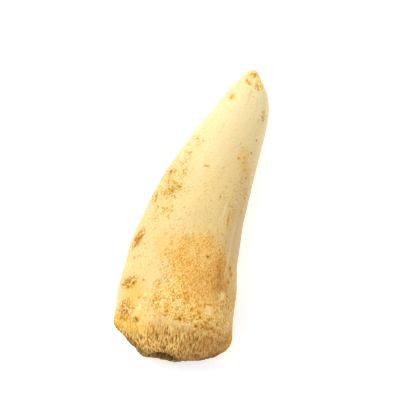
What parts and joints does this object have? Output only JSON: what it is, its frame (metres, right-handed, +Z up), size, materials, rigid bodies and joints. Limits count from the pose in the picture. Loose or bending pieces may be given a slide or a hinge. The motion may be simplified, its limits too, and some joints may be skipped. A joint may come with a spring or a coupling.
{
  "type": "fossil fish tooth",
  "caption": "Tapering fossil fang with a smooth cream crown, a fibrous ochre root half, a chipped blunt tip and a broken root end with a small hollow.",
  "frame": {"origin": "middle of the box around the tooth, at its bottom, where the tooth rests on the surface", "axes": "+Y along the tooth from the broken root end to the tip, +X towards the rounder edge away from the keel, +Z up out of the rounder face that looks up as the tooth lies"},
  "size_m": [0.0174, 0.0424, 0.0096],
  "materials": {
    "fossil_tooth": "cream enamel with a low gloss on the crown, matt fibrous ochre bone on the root half"
  },
  "bodies": {
    "root": {"tooth": "fossil_tooth"}
  },
  "joints": []
}
